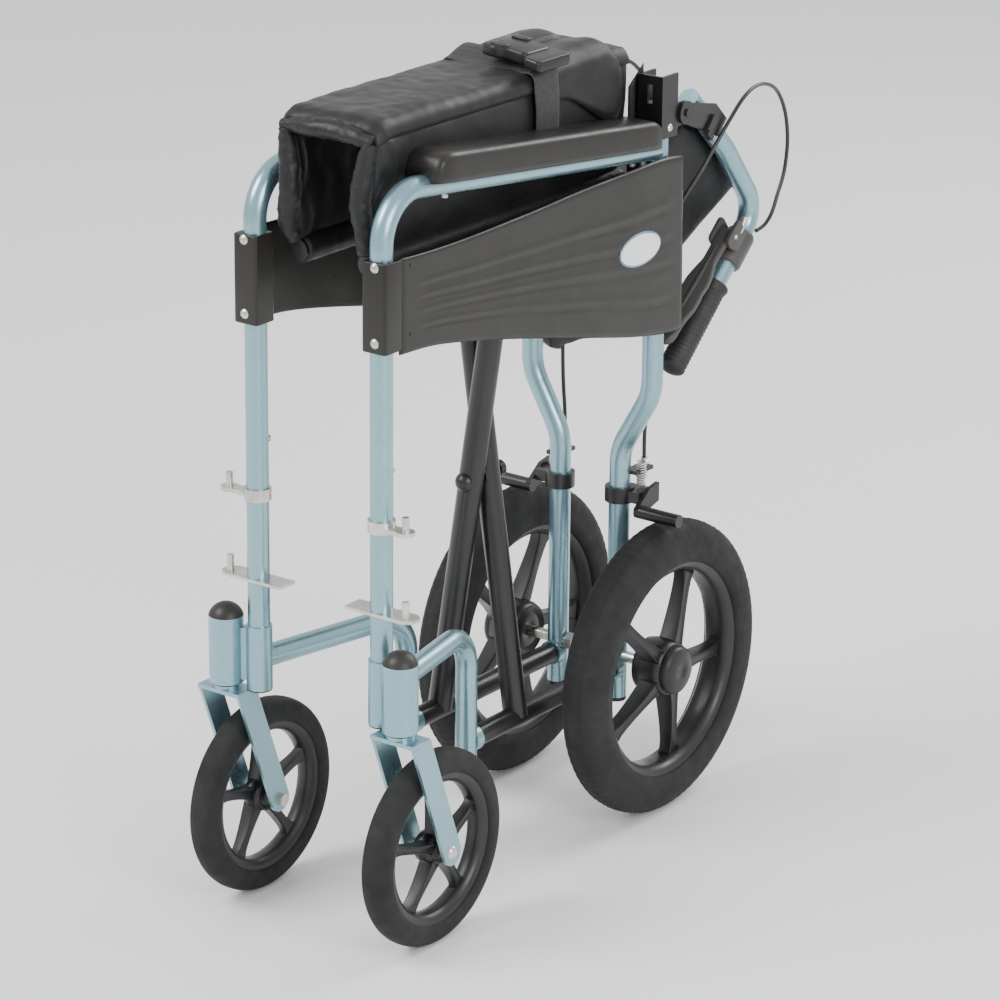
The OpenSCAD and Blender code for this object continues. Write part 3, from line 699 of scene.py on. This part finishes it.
def wheel_hub(kind, side, size, centre):
    """The hub, and a cap on its outer face: a low one on a caster, a tall one on a rear wheel."""
    body = f"{kind}_wheel_{side}"
    face = size["width"] / 2 * 0.86
    h = size["hub"] / 2
    core = [
        (0.5, face - 3), (h * 0.62, face - 2), (h * 0.74, face - 5), (h * 0.8, face - 5),
        (h * 0.9, face - 1), (h, face - 3), (h * 1.08, face - 9), (h * 1.1, 4), (h * 1.1, -4),
        (h, -face + 3), (h * 0.8, -face), (h * 0.5, -face), (0.5, -face),
    ]
    skin(f"{kind}_{side}_hub", turned(core, centre, 72), "wheel_plastic", body,
         looped=True)
    if size["blocky"]:
        cap = [(0.4, face + 9.5), (12, face + 9), (20, face + 8), (24.5, face + 5.5),
               (26, face + 2), (26, face - 4), (0.4, face - 4)]
    else:
        cap = [(0.4, face + 1.5), (h * 0.3, face + 1.1), (h * 0.5, face + 0.2),
               (h * 0.6, face - 2), (h * 0.6, face - 4), (0.4, face - 4)]
    cap = [(r, SIDES[side] * x) for r, x in cap]
    skin(f"{kind}_{side}_hub_cap", turned(cap, centre, 64), "hub_plastic", body,
         looped=True)


def wheel_spoke(kind, side, size, centre, arm):
    """A channelled spoke, wider at the hub and the rim than at its middle."""
    s = SIDES[side]
    cx, cy, cz = centre
    face = size["width"] / 2 * 0.86
    start = size["hub"] * 0.42
    reach = size["bed"] - 9 - start
    root, web = size["root"], size["web"]
    turn = math.radians(size["first"] + 360 / SPOKES * arm)
    rings = []
    steps = 12
    for k in range(steps + 1):
        t = k / steps
        wide = mix(root, root * 0.62, math.sin(t * math.pi) ** 0.8) * (1 + 0.35 * ease((t - 0.8) / 0.2))
        half, deep = wide / 2, mix(web * 1.5, web, ease(t)) / 2
        outline = rounded_outline([
            (-half, -deep), (half, -deep), (half * 0.8, deep), (wide * 0.22, deep - 2.2),
            (-wide * 0.22, deep - 2.2), (-half * 0.8, deep),
        ], 1.6, 3)
        r = start + reach * t
        ring = []
        for a, x in outline:
            ry = r * math.cos(turn) - a * math.sin(turn)
            rz = r * math.sin(turn) + a * math.cos(turn)
            ring.append(at(cx + s * (x + face * 0.35 * (1 - t)), cy + ry, cz + rz))
        rings.append(ring)
    skin(f"{kind}_{side}_spoke_{arm}", rings, "wheel_plastic", f"{kind}_wheel_{side}")


# ---------- push handles and brakes ----------

CANE_FOLD = math.radians(-134)
HINGE_PIN = (76, 474, 747)


def on_cane(s, x, y, z):
    """A point of the upright backrest, relative to its hinge pin, in its folded place."""
    c, d = math.cos(CANE_FOLD), math.sin(CANE_FOLD)
    px, py, pz = HINGE_PIN
    return Vector((s * (px + x), py + y * c - z * d, pz + y * d + z * c))


HANDLE_TOP = (-12, 208)
HANDLE_DROP = math.radians(3)


def on_handle(s, across, over, along):
    """A point by the handle's axis: along it from the hinge, over it and across it."""
    y = HANDLE_TOP[0] + (along + 12) * math.cos(HANDLE_DROP) + over * math.sin(HANDLE_DROP)
    z = HANDLE_TOP[1] - (along + 12) * math.sin(HANDLE_DROP) + over * math.cos(HANDLE_DROP)
    return on_cane(s, across, y, z)


GRIP_START, GRIP_LENGTH, GRIP_R = 86, 110, 14.3


def grip(side):
    """Rubber grip with a groove every five steps, a flange at its start and a round end."""
    s = SIDES[side]
    rings = []
    steps, sides = 110, 28
    for i in range(steps + 1):
        t = i / steps
        groove = 0.7 * (0.5 + 0.5 * math.cos(i * 2 * math.pi / 5)) * (0.06 < t < 0.92)
        radius = GRIP_R - groove
        radius += 1.6 * math.exp(-((t - 0.02) / 0.03) ** 2)
        if t > 0.94:
            radius *= math.sqrt(max(1 - ((t - 0.94) / 0.062) ** 2, 0.01))
        ring = []
        for k in range(sides):
            turn = 2 * math.pi * k / sides
            across, over = radius * math.cos(turn), radius * math.sin(turn)
            ring.append(at(*on_handle(s, across, over, GRIP_START + GRIP_LENGTH * t)))
        rings.append(ring)
    skin(f"hand_grip_{side}", rings, "grip_rubber", f"cane_{side}", [f"grip_{side}"])


LEVER_PIN = (38, 181)
LEVER_TILT = math.radians(-7)
# Sections of the lever: distance from its pin, half width and depth.
LEVER_SECTIONS = [
    (-7, 5, 5), (-4, 8.5, 8), (6, 9, 8.5), (24, 8.4, 8.5), (36, 8.6, 8), (46, 11.4, 7.6),
    (60, 14.6, 7), (70, 15.2, 6.8), (78, 14.4, 6.6), (84, 15.2, 6.8), (98, 15.2, 6.8),
    (108, 13, 7.4), (118, 11.4, 8.4), (126, 11.2, 9.6), (134, 10.6, 11), (140, 8.4, 10),
    (144, 3.5, 5),
]
RIB_START, RIB_LENGTH = 14, 96


def on_lever(s, across, along, over):
    """A point by the lever's axis: along it from its pin, over it and across it."""
    y = LEVER_PIN[0] + along * math.cos(LEVER_TILT) - over * math.sin(LEVER_TILT)
    z = LEVER_PIN[1] + along * math.sin(LEVER_TILT) + over * math.cos(LEVER_TILT)
    return on_cane(s, across, y, z)


def brake_lever(side):
    """Contoured moulded lever: narrow neck, broad finger rest with steps, round tip, and a rib."""
    s = SIDES[side]
    body = f"brake_lever_{side}"
    rings = []
    for section in smooth_route(LEVER_SECTIONS, 5):
        along, half, deep = section.x, section.y, section.z
        outline = rounded_outline([
            (-half, -deep / 2), (half, -deep / 2), (half * 0.96, deep / 2 - 0.8), (0, deep / 2),
            (-half * 0.96, deep / 2 - 0.8),
        ], min(half, deep) * 0.42, 4)
        rings.append([at(*on_lever(s, a, along, b)) for a, b in outline])
    skin(f"lever_blade_{side}", rings, "lever_plastic", body, [f"brake_lever_{side}"])
    rib = []
    steps, sides = 24, 10
    for k in range(steps + 1):
        t = k / steps
        half = 3 * math.sin(math.pi * min(max(t, 0.03), 0.97)) ** 0.4
        ring = []
        for q in range(sides):
            turn = 2 * math.pi * q / sides
            across, over = half * math.cos(turn), -3.2 + 1.6 * math.sin(turn)
            ring.append(at(*on_lever(s, across, RIB_START + RIB_LENGTH * t, over)))
        rib.append(ring)
    skin(f"lever_rib_{side}", rib, "lever_plastic", body)


CLAMP_START, CLAMP_END, CLAMP_R = 20, 60, 15.6
EAR_X, EAR_THICK = 10.6, 4.8


def lever_housing(side):
    """Moulded clamp sleeve round the handle, with ears, the lever pin and the cable's ferrule."""
    s = SIDES[side]
    body = f"cane_{side}"
    sleeve = [on_handle(s, 0, 0, mix(CLAMP_START, CLAMP_END, k / 20)) for k in range(21)]

    def clamp_radius(t):
        return CLAMP_R - 1.6 * math.exp(-(t / 0.05) ** 2) - 1.6 * math.exp(-((1 - t) / 0.05) ** 2)

    skin(f"lever_clamp_{side}", placed(tube_rings(sleeve, clamp_radius, 28)), "lever_plastic", body,
         [f"lever_housing_{side}"])
    ear = rounded_outline([(20, 174), (50, 172), (52, 184), (46, 198), (24, 200)], 6)
    for part, x in (("inner", -EAR_X), ("outer", EAR_X)):
        def on_ear(a, b, h, x=x):
            return at(*on_cane(s, x - EAR_THICK / 2 + h, a, b))

        slab(f"lever_ear_{part}_{side}", ear, on_ear, EAR_THICK, 1.2, "lever_plastic", body)
    pin = [on_cane(s, x, *LEVER_PIN) for x in (-14.2, -13.8, 13.8, 14.2)]
    skin(f"lever_pin_{side}", placed(tube_rings(pin, lambda t: 2.3 if 0 < t < 1 else 1.7, 16)), "zinc",
         body)
    ferrule = smooth_route([on_cane(s, 10, 12, 186), on_cane(s, 10, 24, 187), on_cane(s, 9, 34, 186)], 4)
    skin(f"cable_ferrule_{side}", placed(tube_rings(ferrule, 3.6, 16)), "zinc", body)


CABLE_ROUTE = [
    (51, 474, 373), (51, 474, 400), (54, 474, 440), (56, 475, 490), (56, 475, 540),
    (60, 478, 590), (76, 488, 641), (92, 510, 684), (99, 542, 724), (98, 574, 746),
    (94, 608, 751), (90, 642, 740), (87, 666, 714), (86, 676, 680), (86, 672, 646),
    (86, 660, 622), (86, 650, 604), (86, 637, 594), (85, 622, 590),
]
CABLE_R = 2.1
ADJUSTER = (51, 474, 352)
SPRING = (56, 462, 346)
SPRING_R, SPRING_WIRE, SPRING_RISE, SPRING_TURN, SPRING_STEPS = 4.6, 0.8, 0.24, 0.55, 110


def brake_cable(side):
    """Brake cable from the adjuster to the lever, which bends where the backrest folds."""
    s = SIDES[side]
    line = smooth_route([(s * x, y, z) for x, y, z in CABLE_ROUTE], 8)
    piece = skin(f"cable_{side}", placed(tube_rings(line, CABLE_R, 12)), "cable_sheath", None,
                 [f"brake_cable_{side}"])
    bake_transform(piece)


def cable_adjuster(side):
    """Barrel and lock nut under the cable's foot, and the spring of the brake arm beside them."""
    s = SIDES[side]
    x, y, z = ADJUSTER
    for part, foot, head, radius, sides in (("lower", 0, 10, 3.4, 18), ("nut", 14, 18, 5.2, 6)):
        ends = [Vector((s * x, y, z + h)) for h in (foot, foot + 0.6, head - 0.6, head)]
        rings = tube_rings(ends, lambda t, r=radius: r if 0 < t < 1 else r * 0.85, sides)
        skin(f"adjuster_{part}_{side}", placed(rings), "zinc", f"frame_{side}",
             smooth=part != "nut")
    coil = []
    for k in range(SPRING_STEPS):
        turn = k * SPRING_TURN
        coil.append(Vector((s * SPRING[0] + SPRING_R * math.cos(turn),
                            SPRING[1] + SPRING_R * math.sin(turn), SPRING[2] + k * SPRING_RISE)))
    skin(f"brake_spring_{side}", placed(tube_rings(coil, SPRING_WIRE, 8)), "zinc", f"frame_{side}")


# ---------- seat sling ----------

SEAT_FRONT, SEAT_REAR = 16, 424
SEAT_TOP = 813.5
SEAT_HALF = 57
SIDE_FRONT = 20


def crumple(p, size=1.0):
    """Uneven cloth: broad, middling and fine waves together."""
    return (wave(p, 64, 2.6) + wave(p, 27, 0.9) + wave(p, 11, 0.25)) * size


def roll_radius(radius, end, power):
    """Radius along a stuffed roll that rounds off at its ends, as a function of 0 to 1."""
    return lambda t: radius * math.sin(math.pi * min(max(t, end), 1 - end)) ** power


def seat_cover():
    """Top of the folded sling: padded, crowned across, and rolled over at its front."""
    def surface(u, v):
        y = mix(SEAT_FRONT, SEAT_REAR, v)
        w = 2 * u - 1
        x = SEAT_HALF * math.copysign(abs(w) ** 0.9, w)
        droop = 15 * max(abs(w) - 0.86, 0) / 0.14
        sag = crumple((x, y * 0.6, 0), 0.7) * (1 - abs(w) ** 6)
        z = SEAT_TOP + 2.2 * (1 - w * w) - droop * 0.8 + sag
        nose = ease((y - SEAT_FRONT) / 26)
        return x, y + 2 * wave((x, 0, 3), 16, 1.6), z - 5 * (1 - nose)

    def thick(u, v):
        y = mix(SEAT_FRONT, SEAT_REAR, v)
        return 13 + 9 * math.exp(-((y - SEAT_FRONT - 9) / 11) ** 2) + wave((u * 110, y, 40), 13, 1.5)

    cover = padded_patch("seat_cover", surface, 54, 150, thick, "cloth", "seat_top_right",
                         ["seat_top_right"])
    roll = [Vector((x, 15 + 1.4 * math.sin(x / 9), 806.5 - 0.0016 * x * x)) for x in range(-54, 55, 2)]
    rings = tube_rings(roll, roll_radius(10.5, 0.06, 0.25), 22, 0.9, 1.3)
    hem = skin("seat_front_roll", placed(rings), "cloth", "seat_top_right")


def seat_underlayer():
    """The other top layer of the sling, under the cover."""
    def surface(u, v):
        x, y = mix(-29, 56, u), mix(24, 420, v)
        return x, y, 804.5 + crumple((x, y, 90), 0.4)

    layer = padded_patch("seat_underlayer", surface, 24, 90, 6.5, "cloth", "seat_top_left",
                         ["seat_top_left"])


def seat_side(side):
    """Side wall of the folded sling, from its rail up to the cover, with a roll at its front."""
    s = SIDES[side]
    body = f"seat_flap_{side}"
    low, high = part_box(f"seat_flap_{side}")
    bottom, top = low.z / MM, high.z / MM

    def surface(u, v):
        y = mix(SIDE_FRONT, SEAT_REAR, u)
        z = mix(bottom - 2, top + 5, v)
        bow = 5.5 * math.sin(math.pi * v) * (0.5 + 0.5 * ease((y - 60) / 100))
        gather = 1.8 * math.sin(y / 5.5 + wave((0, y, z), 30, 3)) * math.exp(-(y - SIDE_FRONT) / 34)
        return s * (43 + 9 * ease(v) + bow * 0.5 + gather + crumple((40, y, z), 0.75)), y, z

    def thick(u, v):
        y = mix(SIDE_FRONT, SEAT_REAR, u)
        return 12 + 6 * math.exp(-((y - SIDE_FRONT - 8) / 13) ** 2)

    wall = padded_patch(f"seat_side_{side}", surface, 150, 44, thick, "cloth", body,
                        [f"seat_flap_{side}"])
    front = [(41, 19, 692), (46, 14, 712), (42, 12, 742), (45, 14, 772), (50, 15, 800)]
    roll = smooth_route([(s * x, y, z) for x, y, z in front], 12)
    rings = tube_rings(roll, roll_radius(11, 0.05, 0.22), 22, 0.95, 1.4)
    edge = skin(f"seat_edge_{side}", placed(rings), "cloth", body)


def rail_sleeve(side):
    """Sleeve of the sling round its seat rail."""
    s = SIDES[side]
    x, _, z = node_centre(f"seat_rail_{side}")
    wrap = [Vector((x - s * 0.6, y, z)) for y in range(26, 425, 6)]
    brace = "brace_front" if side == "left" else "brace_rear"
    sleeve = skin(f"rail_sleeve_{side}", placed(tube_rings(wrap, 13.2, 26, 1.0, 0.7)), "cloth",
                  brace)


# ---------- backrest fabric ----------

BACK_X, BACK_Y = 59, 449
BACK_HALF = 213.5
V_ANGLE = math.acos(BACK_X / (BACK_X + 155.4))
V_COS, V_SIN = math.cos(V_ANGLE), math.sin(V_ANGLE)


def back_lower(side):
    """Lower backrest half, folded forwards in a V: a low panel and a tall strip by the upright."""
    s = SIDES[side]
    body = f"back_lower_{side}"

    def line(t, bulge):
        x = BACK_X - t * V_COS + bulge * V_SIN
        y = BACK_Y - t * V_SIN - bulge * V_COS
        return s * max(x, 0.6), y

    def hem(u, v):
        t = mix(2, 118, u)
        x, y = line(t, 2.5 * math.sin(t / 17 + v))
        return x, y, mix(521, 648, v) + wave((t, v * 60, 7), 22, 2.5)

    def strip(u, v):
        x, y = line(mix(2, 21, u), 0)
        return x, y, mix(522, 798 - 22 * u, v)

    for name, surface, across, along, thick, replaced in (
        ("hem", hem, 34, 40, 5, [f"back_lower_{side}"]),
        ("strip", strip, 5, 60, 4, []),
    ):
        piece = padded_patch(f"back_{name}_{side}", surface, across, along, thick, "cloth", body,
                             replaced)


SWELL_FRONT, SWELL_REAR = 264, 416
RIDGE_X = {"left": 36, "right": 22}


def folded_swell(side):
    """The folded backrest over the rear of the seat: its half of two soft ridges and one
    side wall."""
    s = SIDES[side]

    def roof(x, y):
        rise = ease((y - 262) / 34)
        crest = math.exp(-((x - RIDGE_X[side]) / 24) ** 2)
        back = ease((y - 262) / 120)
        fall = ease((x - 46) / 16)
        slump = 12 * ease((y - 380) / 34)
        return 817 + (6 + 7 * crest + 3 * back) * rise - 9 * fall - slump + crumple((s * x, y, 5), 0.6)

    rings = []
    steps = 42
    for i in range(steps + 1):
        t = i / steps
        y = mix(SWELL_FRONT, SWELL_REAR, t)
        shut = math.sqrt(max(1 - (2 * t - 1) ** 8, 0.001))
        top = [(x, roof(x, y)) for x in (0.4, 8, 16, 24, 32, 40, 48, 54, 58)]
        foot = mix(806, mix(788, 748, ease((y - 300) / 100)), ease((y - 268) / 30))
        wall = []
        for k in range(7):
            x = mix(61, 62.5, k / 6) + crumple((60, y, k * 12), 0.6)
            wall.append((x, mix(roof(58, y) - 5, foot, k / 6)))
        inside = [(55, foot + 3), (54, 806), (40, 806), (20, 806), (0.4, 806)]
        ring = []
        for x, z in top + wall + inside:
            across = mix(30, x, 0.6 + 0.4 * shut) if x > 1 else x
            ring.append(at(s * across, y, mix(812, z, shut)))
        rings.append(ring)
    piece = skin(f"back_fold_{side}", rings, "cloth", f"back_lower_{side}")
    across = (s * V_SIN, -V_COS, 0)
    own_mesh(piece)
    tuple(across)


def back_upper(side):
    """Upper backrest half, hanging in a V between the folded canes, and its web by the cane."""
    s = SIDES[side]

    def surface(u, v):
        t, h = mix(1, BACK_HALF - 1, u), mix(54, 182, v)
        swell = 3 * math.sin(math.pi * u) + crumple((t, h, 20 * s), 0.8)
        x = -17 - t * V_COS - swell * V_SIN
        y = -25 + t * V_SIN - swell * V_COS
        return on_cane(s, x, y, h)

    def web(u, v):
        return on_cane(s, mix(-5, -19, u), -25, mix(58, 146, v))

    piece = padded_patch(f"back_fabric_{side}", surface, 70, 48, 7, "cloth", f"back_upper_{side}",
                         [f"back_upper_{side}"])
    piece = padded_patch(f"cane_web_{side}", web, 6, 30, 4, "cloth", f"cane_{side}")


# ---------- lap belt ----------

BELT_HALF, BELT_THICK = 19, 2.2
BELT_BEND, BELT_BEND_R = 52, 9


def lap_belt():
    """Belt strap over the seat, hanging down the left side, with its buckle."""
    low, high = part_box("lap_belt")
    middle = ((low.y + high.y) / 2 - FRONT_Y) / MM
    top = low.z / MM

    def strap(u, v):
        run = mix(-64, 132, u)
        turn = min(max((run - BELT_BEND) / 14, 0), 1) * math.pi / 2
        x = min(run, BELT_BEND) + BELT_BEND_R * math.sin(turn) + 2.5 * ease((run - 66) / 30)
        down = BELT_BEND_R * (1 - math.cos(turn)) + max(run - 66, 0)
        sag = 12 * ease((-run - 46) / 16)
        y = middle + 6 + mix(-BELT_HALF, BELT_HALF, v)
        return x, y, 821.5 + 9 * ease((y - 258) / 34) - sag - down + 0.5 * math.sin(run / 9)

    belt = padded_patch("belt_strap", strap, 110, 16, BELT_THICK, "webbing", "seat_top_right",
                        ["lap_belt"])
    buckle(middle, top)


def buckle(middle, top):
    """Socket with two side catches, and the tongue in it."""
    shell = rounded_outline([
        (-12, -20), (4, -24), (12, -17), (31, -17), (31, 17), (12, 17), (4, 24), (-12, 20),
    ], 5)
    tongue = rounded_outline([(31, -21), (48, -22), (48, 22), (31, 21)], 4)
    parts = [("socket", shell, 0, 10.5, 3), ("tongue", tongue, -0.5, 9.5, 2.6)]
    for y in (-14, 14):
        catch = rounded_outline([(-4, y - 5), (12, y - 4), (12, y + 4), (-4, y + 5)], 2.5)
        parts.append((f"catch_{y + 14}", catch, 9, 3, 1.2))
    for part, outline, foot, tall, bevel in parts:
        def on_belt(a, b, h, foot=foot):
            x = 12 + a * 1.2
            lift = top - 5.5 + (foot + h) * 1.15 - 0.14 * max(x - 14, 0)
            return at(x, middle + 9 + b * 1.25, lift)

        slab(f"buckle_{part}", outline, on_belt, tall, bevel, "buckle_plastic", "seat_top_right")


# ---------- the whole chair ----------

# Darker and lighter colour of each moulded plastic, and how much smoother it is than the plain one.
PLASTICS = {
    "moulded_plastic": ((0.02, 0.019, 0.017), (0.028, 0.027, 0.024), 0.0),
    "panel_plastic": ((0.0145, 0.0138, 0.0115), (0.02, 0.019, 0.0165), 0.1),
    "pad_plastic": ((0.0145, 0.0138, 0.012), (0.02, 0.019, 0.017), 0.04),
    "lever_plastic": ((0.05, 0.048, 0.045), (0.075, 0.072, 0.069), 0.0),
    "hub_plastic": ((0.016, 0.016, 0.016), (0.024, 0.024, 0.024), 0.05),
    "buckle_plastic": ((0.012, 0.012, 0.012), (0.02, 0.02, 0.02), 0.12),
}


def make_looks():
    """Every material by name."""
    return {
        "frame_paint": frame_paint(),
        "black_steel": black_steel(),
        "zinc": zinc(),
        **{name: moulded_plastic(name, *values) for name, values in PLASTICS.items()},
        "wheel_plastic": wheel_plastic(),
        "tyre": tyre_rubber(),
        "grip_rubber": grip_rubber(),
        "cable_sheath": cable_sheath(),
        "cloth": cloth(),
        "webbing": webbing(),
        "badge_enamel": badge_enamel(),
        "badge_ring": badge_ring(),
    }


make_camera()
make_studio()
looks = make_looks()
dress_cad_nodes()
for side in SIDES:
    side_panel(side)
    armrest_pad(side)
    for kind in WHEELS:
        wheel(kind, side)
    grip(side)
    brake_lever(side)
    lever_housing(side)
    brake_cable(side)
    cable_adjuster(side)
    seat_side(side)
    rail_sleeve(side)
    back_lower(side)
    folded_swell(side)
    back_upper(side)
seat_cover()
seat_underlayer()
lap_belt()
